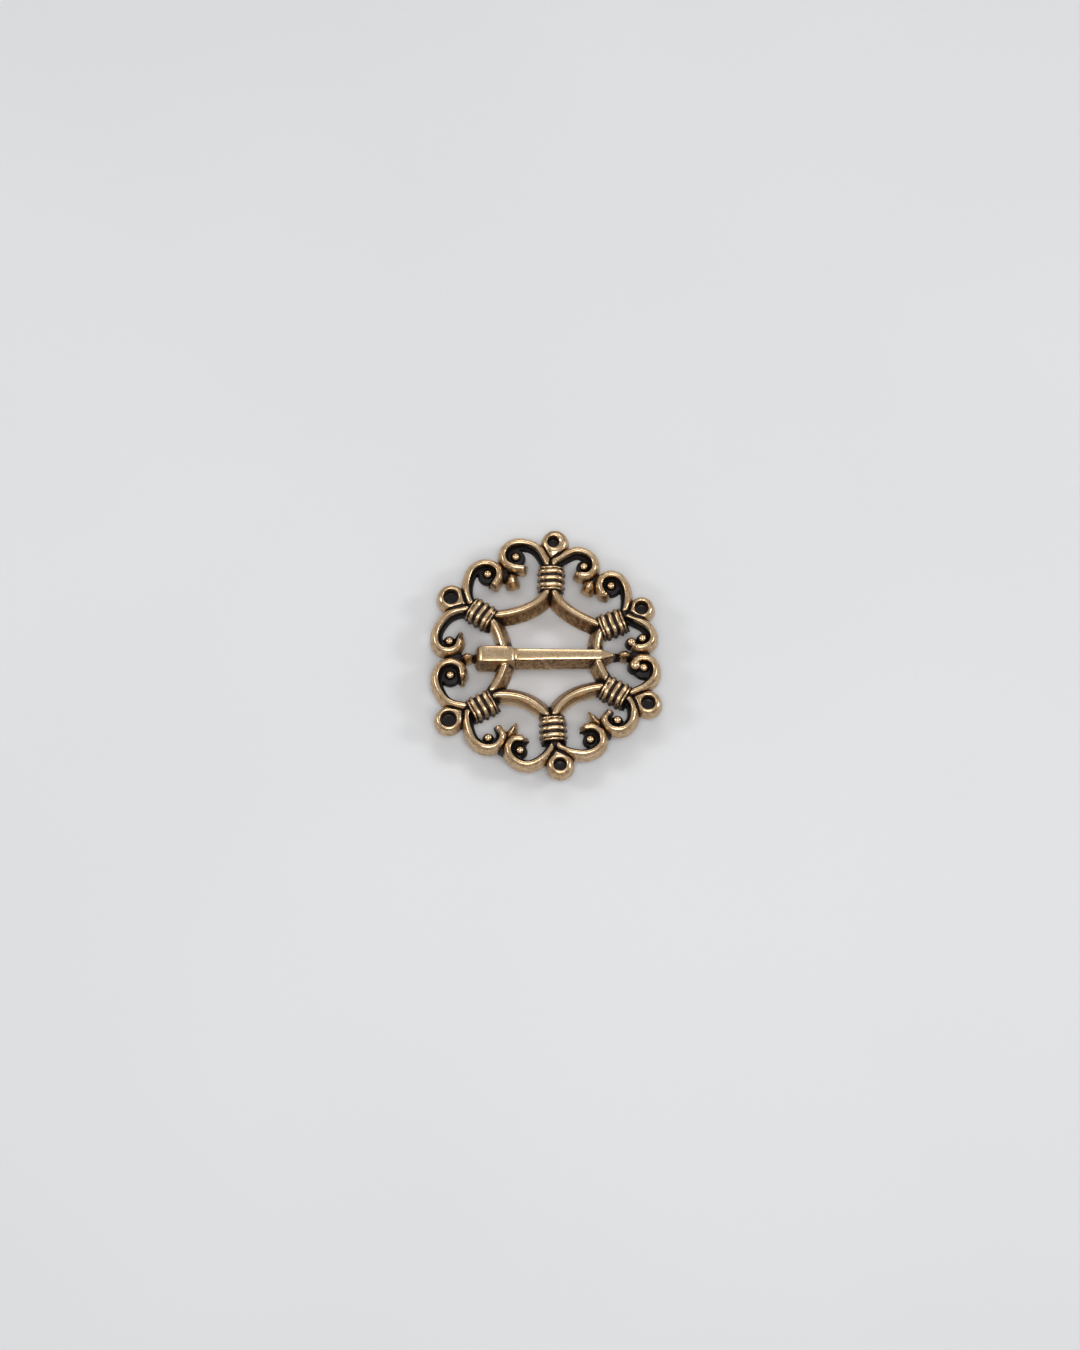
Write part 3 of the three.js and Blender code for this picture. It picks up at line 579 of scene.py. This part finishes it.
def cast_mesh():
    """A closed mesh of the relief over its flat back."""
    cast_relief()
    solid = relief > 0
    surface = blurred(relief, 0.05)
    surface += 0.004 * surface_noise(3, 0.6) * (0.6 + casting) * solid
    surface -= 0.03 * np.maximum(surface_noise(5, 0.14) - 1.1, 0) * casting * solid
    slope_x, slope_y = np.gradient(surface, PITCH)
    steepness = np.sqrt(1 + slope_x**2 + slope_y**2)
    heights = np.arange(VOLUME_FOOT, VOLUME_TOP, PITCH)
    inside = (surface[:, :, None] - heights) / steepness[:, :, None]
    inside = np.minimum(inside, heights)
    grid = openvdb.FloatGrid(3 * PITCH)
    grid.copyFromArray(np.clip(-inside, -3 * PITCH, 3 * PITCH).astype(np.float32))
    points, quads = grid.convertToQuads(0.0)
    points = points * PITCH + np.array((LOW[0], LOW[1], heights[0]))
    return points, quads


def shift_of_plan():
    """From plan places to the frame, found by the hinge's rivet."""
    low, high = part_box("hinge_rivet")
    return (low[0] + high[0]) / 2 - PIN_HINGE[0] * MM, (low[1] + high[1]) / 2 - PIN_HINGE[1] * MM


SHIFT_X, SHIFT_Y = shift_of_plan()
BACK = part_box("cast_frame")[0][2]


def new_object(name, points, faces):
    mesh = bpy.data.meshes.new(name)
    mesh.from_pydata(points, [], faces)
    mesh.update()
    made = bpy.data.objects.new(name, mesh)
    bpy.context.scene.collection.objects.link(made)
    return made


def apply_modifiers(made):
    graph = bpy.context.evaluated_depsgraph_get()
    mesh = bpy.data.meshes.new_from_object(made.evaluated_get(graph))
    made.modifiers.clear()
    made.data = mesh


def sampled(values, points):
    """Values of a map at plan points, interpolated."""
    place = (points[:, :2] - LOW) / PITCH
    cell = np.floor(place).astype(int).clip(0, CELLS - 2)
    fx, fy = (place - cell).T
    i, j = cell.T
    return (
        values[i, j] * (1 - fx) * (1 - fy)
        + values[i + 1, j] * fx * (1 - fy)
        + values[i, j + 1] * (1 - fx) * fy
        + values[i + 1, j + 1] * fx * fy
    )


def set_attribute(mesh, name, values):
    layer = mesh.attributes.new(name, "FLOAT", "POINT")
    layer.data.foreach_set("value", np.asarray(values, np.float32))


def vertex_values(mesh, name):
    values = np.empty(len(mesh.vertices) * 3, np.float32)
    mesh.vertices.foreach_get(name, values)
    return values.reshape(-1, 3)


def shade_map():
    """How dark each cell is: by its patina and painted shade, and more patina in a hollow."""
    open_ground = np.where(relief > 0, relief, -1.5)
    hollow = blurred(open_ground, 0.42) - open_ground
    hollow = np.maximum(hollow, 1.3 * (blurred(open_ground, 0.22) - open_ground))
    return np.maximum(patina_and_shade, smooth_step(0.1, 0.6, hollow))


def build_casting():
    points, quads = cast_mesh()
    made = new_object("cast_frame_relief", points.tolist(), quads.tolist())
    reduce = made.modifiers.new("reduce", "DECIMATE")
    reduce.ratio = min(1.0, CASTING_TRIANGLES / (2 * len(quads)))
    apply_modifiers(made)
    mesh = made.data
    place = vertex_values(mesh, "co").astype(float)
    solid = (relief > 0.1).astype(float)
    near = np.maximum(blurred(solid, EDGE_BLUR), 1e-4)
    set_attribute(mesh, "dark", sampled(blurred(shade_map() * solid, EDGE_BLUR) / near, place))
    set_attribute(mesh, "cast", sampled(blurred(casting * solid, EDGE_BLUR) / near, place))
    set_attribute(mesh, "back", smooth_step(0.5, 0.95, -vertex_values(mesh, "normal")[:, 2]))
    place = place * MM + np.array((SHIFT_X, SHIFT_Y, BACK))
    mesh.vertices.foreach_set("co", place.astype(np.float32).ravel())
    mesh.update()
    mesh.shade_smooth()
    return made


# Materials

CAST_LIGHT = (0.8, 0.59, 0.365, 1)
CAST_MID = (0.7, 0.49, 0.285, 1)
CAST_BROWN = (0.29, 0.165, 0.08, 1)
WIRE_LIGHT = (0.74, 0.56, 0.34, 1)
WIRE_MID = (0.66, 0.47, 0.27, 1)
WIRE_BROWN = (0.36, 0.22, 0.11, 1)
SHEET_LIGHT = (0.55, 0.4, 0.24, 1)
SHEET_MID = (0.45, 0.31, 0.18, 1)
SHEET_BROWN = (0.2, 0.12, 0.065, 1)
STAIN_BROWN = (0.13, 0.068, 0.032, 1)
# brown of the patina, also used for the painted shade of lines and collar sides
TARNISH_AND_SHADE = (0.12, 0.066, 0.034, 1)
PIT_BROWN = (0.03, 0.018, 0.012, 1)
# black of the patina, also used for the painted shade of lines and collar sides
PATINA_AND_SHADE_BLACK = (0.012, 0.009, 0.0085, 1)
FLOOR_GREY = (0.72, 0.725, 0.735, 1)
FLOOR_PALE = (0.745, 0.75, 0.76, 1)


class Nodes:
    """Short names for the nodes of one material."""

    def __init__(self, name):
        self.material = bpy.data.materials.new(name)
        self.material.use_nodes = True
        self.tree = self.material.node_tree
        self.shader = self.tree.nodes["Principled BSDF"]
        self.place = self.tree.nodes.new("ShaderNodeTexCoord").outputs["Object"]

    def node(self, kind, **settings):
        made = self.tree.nodes.new(kind)
        for key, value in settings.items():
            setattr(made, key, value)
        return made

    def join(self, value, socket):
        if isinstance(value, bpy.types.NodeSocket):
            self.tree.links.new(value, socket)
        else:
            socket.default_value = value

    def attribute(self, name):
        return self.node("ShaderNodeAttribute", attribute_name=name).outputs["Fac"]

    def noise(self, scale, detail, roughness=0.55):
        made = self.node("ShaderNodeTexNoise")
        self.join(self.place, made.inputs["Vector"])
        made.inputs["Scale"].default_value = scale
        made.inputs["Detail"].default_value = detail
        made.inputs["Roughness"].default_value = roughness
        return made.outputs["Fac"]

    def cells(self, scale):
        made = self.node("ShaderNodeTexVoronoi")
        self.join(self.place, made.inputs["Vector"])
        made.inputs["Scale"].default_value = scale
        return made.outputs["Distance"]

    def math(self, operation, a, b):
        made = self.node("ShaderNodeMath", operation=operation)
        self.join(a, made.inputs[0])
        self.join(b, made.inputs[1])
        return made.outputs[0]

    def span(self, value, low, high, to_low=0.0, to_high=1.0):
        made = self.node("ShaderNodeMapRange", interpolation_type="SMOOTHSTEP")
        for socket, v in zip(made.inputs, (value, low, high, to_low, to_high)):
            self.join(v, socket)
        return made.outputs[0]

    def mix(self, share, a, b):
        made = self.node("ShaderNodeMix", data_type="RGBA")
        factor, colour_a, colour_b = (made.inputs[i] for i in (0, 6, 7))
        self.join(share, factor)
        self.join(a, colour_a)
        self.join(b, colour_b)
        return made.outputs[2]

    def bump(self, height, strength, distance, normal=None):
        made = self.node("ShaderNodeBump")
        made.inputs["Strength"].default_value = strength
        made.inputs["Distance"].default_value = distance
        self.join(height, made.inputs["Height"])
        if normal is not None:
            self.join(normal, made.inputs["Normal"])
        return made.outputs["Normal"]


def bronze(name, light, mid, brown, polish):
    """Plain worn bronze of the fittings: mottled with brown, with fine pits."""
    n = Nodes(name)
    broad = n.noise(420.0, 3.0)
    mottle = n.noise(2300.0, 5.0, 0.62)
    fine = n.noise(9000.0, 3.0)
    grain = n.cells(3600.0)
    colour = n.mix(n.span(broad, 0.35, 0.65), light, mid)
    colour = n.mix(n.span(mottle, 0.52, 0.74, 0.0, 0.35), colour, brown)
    pits = n.span(grain, 0.05, 0.22, 1.0, 0.0)
    pits = n.math("MULTIPLY", pits, n.span(mottle, 0.5, 0.62))
    colour = n.mix(n.math("MULTIPLY", pits, 0.8), colour, PIT_BROWN)
    n.join(colour, n.shader.inputs["Base Color"])
    n.join(n.span(fine, 0.3, 0.7, polish, polish + 0.14), n.shader.inputs["Roughness"])
    n.shader.inputs["Metallic"].default_value = 1.0
    height = n.math("SUBTRACT", n.math("MULTIPLY", mottle, 0.5), pits)
    normal = n.bump(height, 0.35, 0.00004)
    n.join(n.bump(fine, 0.12, 0.00002, normal), n.shader.inputs["Normal"])
    return n.material


def attribute_bronze():
    """The casting's bronze, led by its own map of hollows and cast faces."""
    n = Nodes("cast_bronze")
    dark, cast, back = (n.attribute(a) for a in ("dark", "cast", "back"))
    broad = n.noise(420.0, 3.0)
    mottle = n.noise(1900.0, 5.0, 0.62)
    fine = n.noise(7000.0, 3.0)
    grain = n.cells(3200.0)
    colour = n.mix(n.span(broad, 0.35, 0.65), CAST_LIGHT, CAST_MID)
    colour = n.mix(n.span(mottle, 0.54, 0.74, 0.0, 0.35), colour, CAST_BROWN)
    as_cast = n.math("MAXIMUM", cast, n.math("MULTIPLY", back, 0.6))
    colour = n.mix(n.math("MULTIPLY", as_cast, n.span(mottle, 0.34, 0.6, 0.24, 0.86)), colour, CAST_BROWN)
    stain = n.math("MULTIPLY", as_cast, n.span(n.noise(1300.0, 4.0, 0.6), 0.46, 0.66))
    colour = n.mix(n.math("MULTIPLY", stain, 0.8), colour, STAIN_BROWN)
    pits = n.math("MULTIPLY", n.span(grain, 0.05, 0.24, 1.0, 0.0), n.span(mottle, 0.5, 0.6))
    pits = n.math("MULTIPLY", pits, n.span(as_cast, 0.0, 1.0, 0.12, 1.0))
    colour = n.mix(n.math("MULTIPLY", pits, 0.85), colour, PIT_BROWN)
    # the dark attribute holds the patina and also the painted shade of lines and collar sides
    edge = n.math("ADD", dark, n.span(mottle, 0.3, 0.7, -0.16, 0.16))
    tarnish_and_shade = n.span(edge, 0.12, 0.5)
    black = n.span(edge, 0.36, 0.8)
    colour = n.mix(tarnish_and_shade, colour, TARNISH_AND_SHADE)
    colour = n.mix(black, colour, PATINA_AND_SHADE_BLACK)
    rough = n.span(fine, 0.3, 0.7, 0.16, 0.3)
    rough = n.math("ADD", rough, n.math("MULTIPLY", as_cast, 0.16))
    rough = n.math("ADD", rough, n.math("MULTIPLY", black, 0.12))
    n.join(colour, n.shader.inputs["Base Color"])
    n.join(rough, n.shader.inputs["Roughness"])
    n.join(n.span(black, 0.0, 1.0, 1.0, 0.55), n.shader.inputs["Metallic"])
    height = n.math("SUBTRACT", n.math("MULTIPLY", mottle, 0.4), n.math("MULTIPLY", pits, 1.2))
    n.join(n.bump(height, 0.08, 0.00004), n.shader.inputs["Normal"])
    return n.material


def floor_material():
    n = Nodes("studio_ground")
    tone = n.noise(6.0, 3.0)
    colour = n.mix(n.span(tone, 0.3, 0.7), FLOOR_GREY, FLOOR_PALE)
    n.join(colour, n.shader.inputs["Base Color"])
    n.shader.inputs["Roughness"].default_value = 0.75
    n.join(n.bump(n.noise(900.0, 4.0), 0.03, 0.0001), n.shader.inputs["Normal"])
    return n.material


# Pieces


def ring_loft(rings, sides, close=False):
    """Faces of a skin over rings of points, its ends filled unless the rings close on themselves."""
    faces = []
    count = len(rings)
    for i in range(count if close else count - 1):
        for j in range(sides):
            a, b = i * sides + j, i * sides + (j + 1) % sides
            c, d = ((i + 1) % count) * sides + (j + 1) % sides, ((i + 1) % count) * sides + j
            faces.append((a, b, c, d))
    if not close:
        faces.append(tuple(reversed(range(sides))))
        faces.append(tuple(range((count - 1) * sides, count * sides)))
    return faces


def to_frame(points):
    return [(x * MM + SHIFT_X, y * MM + SHIFT_Y, z * MM) for x, y, z in points]


def smooth_object(name, points, faces):
    made = new_object(name, to_frame(points), faces)
    made.data.shade_smooth()
    return made


def lathe_points(profile, sides):
    """Rings about the hinge line, from (radius, place along Y) pairs."""
    points = []
    for radius, y in profile:
        for j in range(sides):
            angle = 2 * math.pi * j / sides
            points.append((
                PIN_HINGE[0] + radius * math.cos(angle),
                PIN_HINGE[1] + y,
                PIN_HINGE[2] + radius * math.sin(angle),
            ))
    return points


def build_rivet():
    sides = 48
    half = FITTING_HALF_WIDTH
    head = [
        (0.03, half + RIVET_HEAD_HEIGHT),
        (RIVET_HEAD_RADIUS * 0.4, half + RIVET_HEAD_HEIGHT * 0.96),
        (RIVET_HEAD_RADIUS * 0.72, half + RIVET_HEAD_HEIGHT * 0.78),
        (RIVET_HEAD_RADIUS * 0.93, half + RIVET_HEAD_HEIGHT * 0.48),
        (RIVET_HEAD_RADIUS, half + RIVET_HEAD_HEIGHT * 0.15),
        (RIVET_HEAD_RADIUS * 0.98, half),
        (RIVET_RADIUS, half),
    ]
    profile = head + [(r, -y) for r, y in reversed(head)]
    return smooth_object("rivet_turned", lathe_points(profile, sides), ring_loft(profile, sides))


def build_pin():
    sides = 40
    inner = RIVET_RADIUS + BORE_CLEARANCE
    edge = PIN_EYE_ROUNDING
    profile = [
        (inner, -PIN_EYE_HALF + edge),
        (inner + edge, -PIN_EYE_HALF),
        (PIN_EYE_RADIUS - edge, -PIN_EYE_HALF),
        (PIN_EYE_RADIUS, -PIN_EYE_HALF + edge * 1.3),
        (PIN_EYE_RADIUS, PIN_EYE_HALF - edge * 1.3),
        (PIN_EYE_RADIUS - edge, PIN_EYE_HALF),
        (inner + edge, PIN_EYE_HALF),
        (inner, PIN_EYE_HALF - edge),
    ]
    eye = smooth_object("pin_eye", lathe_points(profile, sides), ring_loft(profile, sides, close=True))
    start = PIN_HINGE[0] + PIN_EYE_RADIUS - 0.35
    places = [start, start + 0.25, *np.linspace(start + 0.6, PIN_TAPER_START, 12)]
    places += list(np.linspace(PIN_TAPER_START + 0.5, PIN_END - 0.12, 14)) + [PIN_END - 0.04, PIN_END]
    rings = []
    for x in places:
        t = min(max((x - PIN_TAPER_START) / (PIN_END - PIN_TAPER_START), 0), 1)
        radius = PIN_RADIUS + (PIN_TIP_RADIUS - PIN_RADIUS) * t
        if x > PIN_END - 0.1:
            radius *= 0.35 if x > PIN_END - 0.02 else 0.8
        for j in range(sides):
            angle = 2 * math.pi * j / sides
            rings.append((x, BAR_LINE + radius * math.cos(angle), PIN_HINGE[2] + radius * math.sin(angle)))
    shank = smooth_object("pin_shank", rings, ring_loft(places, sides))
    return eye, shank


def softened(node, name):
    """A copy of a sheet piece with its edges rounded over."""
    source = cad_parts[node]
    made = bpy.data.objects.new(name, source.data.copy())
    bpy.context.scene.collection.objects.link(made)
    round_over = made.modifiers.new("round_over", "BEVEL")
    round_over.width = SHEET_ROUNDING * MM
    round_over.segments = 3
    round_over.limit_method = "ANGLE"
    round_over.angle_limit = math.radians(35)
    apply_modifiers(made)
    made.data.shade_smooth()
    return made


def finish_piece(made, node, body, material):
    """Gives a piece its material, and its place in the frame."""
    made.data.materials.clear()
    made.data.materials.append(material)
    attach(made, body)
    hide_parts(node)


wire = bronze("wire_bronze", WIRE_LIGHT, WIRE_MID, WIRE_BROWN, polish=0.3)
sheet = bronze("sheet_bronze", SHEET_LIGHT, SHEET_MID, SHEET_BROWN, polish=0.38)
finish_piece(build_casting(), "cast_frame", "brooch", attribute_bronze())
finish_piece(build_rivet(), "hinge_rivet", "brooch", wire)
for part in build_pin():
    finish_piece(part, "pin", "pin", wire)
finish_piece(softened("hinge_bracket", "bracket_sheet"), "hinge_bracket", "brooch", sheet)
finish_piece(softened("pin_catch", "catch_sheet"), "pin_catch", "brooch", sheet)

# Ground, light and camera

FLOOR_HALF = 1.5
LIGHT_DISTANCE = 0.5
SKY_COLOUR = (0.98, 0.99, 1.0, 1)
SKY_STRENGTH = 0.42

# Soft lights: bearing and elevation in degrees, side in metres, power in watts
LIGHTS = {
    "light_top": (-85, 74, 0.2, 0.84),
    "light_right": (6, 38, 0.11, 0.48),
    "light_left": (172, 38, 0.11, 0.4),
    "light_back": (85, 48, 0.18, 0.27),
}

# Camera: its elevation, its distance in metres, and its lens and film height in millimetres
CAMERA_ELEVATION = math.radians(73)
CAMERA_DISTANCE = 0.5769
CAMERA_LENS = 85
CAMERA_FILM = 36
CAMERA_TARGET = Vector((-1.36 * MM + SHIFT_X, -3.6 * MM + SHIFT_Y, 0))


def add_ground():
    corners = [(x * FLOOR_HALF, y * FLOOR_HALF, 0) for x, y in ((-1, -1), (1, -1), (1, 1), (-1, 1))]
    ground = new_object("ground", corners, [(0, 1, 2, 3)])
    ground.data.materials.append(floor_material())


def add_sky():
    world = bpy.data.worlds.new("studio")
    bpy.context.scene.world = world
    world.use_nodes = True
    sky = world.node_tree.nodes["Background"]
    sky.inputs["Color"].default_value = SKY_COLOUR
    sky.inputs["Strength"].default_value = SKY_STRENGTH


def add_light(name, bearing, elevation, size, power):
    """A square soft light that faces the object."""
    bearing, elevation = math.radians(bearing), math.radians(elevation)
    place = LIGHT_DISTANCE * Vector((
        math.cos(elevation) * math.cos(bearing),
        math.cos(elevation) * math.sin(bearing),
        math.sin(elevation),
    ))
    lamp = bpy.data.lights.new(name, "AREA")
    lamp.size = size
    lamp.energy = power
    made = bpy.data.objects.new(name, lamp)
    bpy.context.scene.collection.objects.link(made)
    made.location = place
    made.rotation_euler = (-place).to_track_quat("-Z", "Y").to_euler()


def add_camera():
    """The camera at the photo's angle: in front of the object and well above it."""
    ahead = Vector((0, math.cos(CAMERA_ELEVATION), -math.sin(CAMERA_ELEVATION)))
    lens = bpy.data.cameras.new("camera")
    lens.lens = CAMERA_LENS
    lens.sensor_fit = "VERTICAL"
    lens.sensor_height = CAMERA_FILM
    lens.clip_start = 0.01
    lens.clip_end = 10
    camera = bpy.data.objects.new("camera", lens)
    camera.location = CAMERA_TARGET - ahead * CAMERA_DISTANCE
    camera.rotation_euler = ahead.to_track_quat("-Z", "Y").to_euler()
    bpy.context.scene.collection.objects.link(camera)
    bpy.context.scene.camera = camera


add_ground()
add_sky()
for name, settings in LIGHTS.items():
    add_light(name, *settings)
add_camera()
bpy.context.scene.view_settings.view_transform = "Standard"
